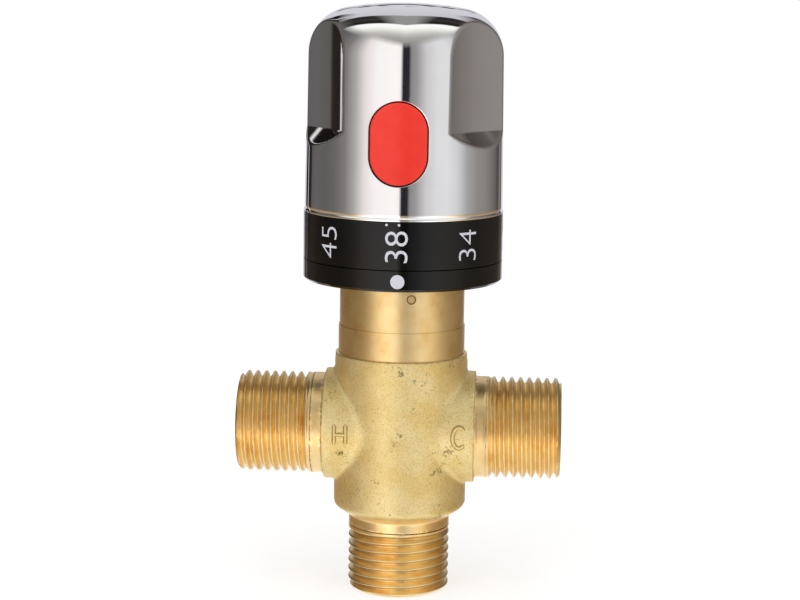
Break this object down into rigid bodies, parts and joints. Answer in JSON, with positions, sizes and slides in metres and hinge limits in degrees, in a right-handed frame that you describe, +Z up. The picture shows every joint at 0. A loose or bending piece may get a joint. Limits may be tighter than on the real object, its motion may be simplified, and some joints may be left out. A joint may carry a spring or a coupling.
{
  "type": "thermostatic mixing valve",
  "caption": "Cast brass tee valve with two side inlets and a bottom outlet, a wax-element mixing cartridge and a chromed temperature knob with a scale ring and a red release button.",
  "frame": {"origin": "centre of the outlet's end face, at the foot of the valve", "axes": "+Z up the outlet's axis to the knob, -Y to the front where the scale is read, hot inlet at -X and cold inlet at +X"},
  "size_m": [0.0664, 0.0407, 0.121],
  "materials": {
    "cast_brass": "blasted casting",
    "machined_brass": "turned, satin",
    "chrome": "mirror",
    "black_plastic": "gloss",
    "red_plastic": "gloss",
    "white_plastic": "moulded",
    "seal_rubber": "smooth",
    "spring_steel": "drawn wire",
    "element_copper": "bright copper"
  },
  "bodies": {
    "valve": {"valve_body": "cast_brass", "bonnet": "machined_brass", "bonnet_collar": "machined_brass", "locking_pin": "spring_steel", "bonnet_oring": "seal_rubber", "index_ring": "black_plastic", "stop_ring": "white_plastic", "stop_ring_clip": "spring_steel", "cartridge_cage": "white_plastic", "cage_lower_oring": "seal_rubber", "cage_middle_oring": "seal_rubber", "return_spring": "spring_steel", "hot_check_housing": "white_plastic", "hot_check_oring": "seal_rubber", "hot_check_spring": "spring_steel", "cold_check_housing": "white_plastic", "cold_check_oring": "seal_rubber", "cold_check_spring": "spring_steel"},
    "knob": {"knob_shell": "chrome", "spline_adaptor": "white_plastic", "handle_screw": "spring_steel", "top_cap": "chrome", "scale_ring": "black_plastic", "spindle": "machined_brass", "spindle_oring": "seal_rubber", "spindle_circlip": "spring_steel", "button_spring": "spring_steel"},
    "button": {"button": "red_plastic"},
    "adjuster": {"adjusting_nut": "machined_brass", "overload_spring": "spring_steel", "thrust_cap": "spring_steel", "thrust_retaining_ring": "spring_steel", "piston_pin": "spring_steel"},
    "element": {"wax_element": "element_copper", "mixing_sleeve": "white_plastic", "sleeve_oring": "seal_rubber"},
    "hot_poppet": {"hot_check_poppet": "white_plastic"},
    "cold_poppet": {"cold_check_poppet": "white_plastic"}
  },
  "joints": [
    {"name": "knob_turn", "type": "hinge", "parent": "valve", "child": "knob", "pos_m": [0, 0, 0.1], "axis": [0, 0, 1], "range_deg": [-150, 105]},
    {"name": "button_press", "type": "slide", "parent": "knob", "child": "button", "axis": [0, 1, 0], "range_m": [0, 0.0018], "stiffness_N_per_m": 600, "springref_m": -0.001, "deforming": ["button_spring"]},
    {"name": "adjuster_slide", "type": "slide", "parent": "valve", "child": "adjuster", "axis": [0, 0, 1], "range_m": [-0.00083, 0.00058]},
    {"name": "element_stroke", "type": "slide", "parent": "adjuster", "child": "element", "axis": [0, 0, -1], "range_m": [-0.0006, 0.0008], "stiffness_N_per_m": 2000, "deforming": ["return_spring"]},
    {"name": "hot_check_lift", "type": "slide", "parent": "valve", "child": "hot_poppet", "axis": [1, 0, 0], "range_m": [0, 0.002], "stiffness_N_per_m": 100, "springref_m": -0.001, "deforming": ["hot_check_spring"]},
    {"name": "cold_check_lift", "type": "slide", "parent": "valve", "child": "cold_poppet", "axis": [-1, 0, 0], "range_m": [0, 0.002], "stiffness_N_per_m": 100, "springref_m": -0.001, "deforming": ["cold_check_spring"]}
  ],
  "couplings": [
    {"joint": "knob_turn", "follows": "adjuster_slide", "rad_per_m": 3141.6}
  ]
}
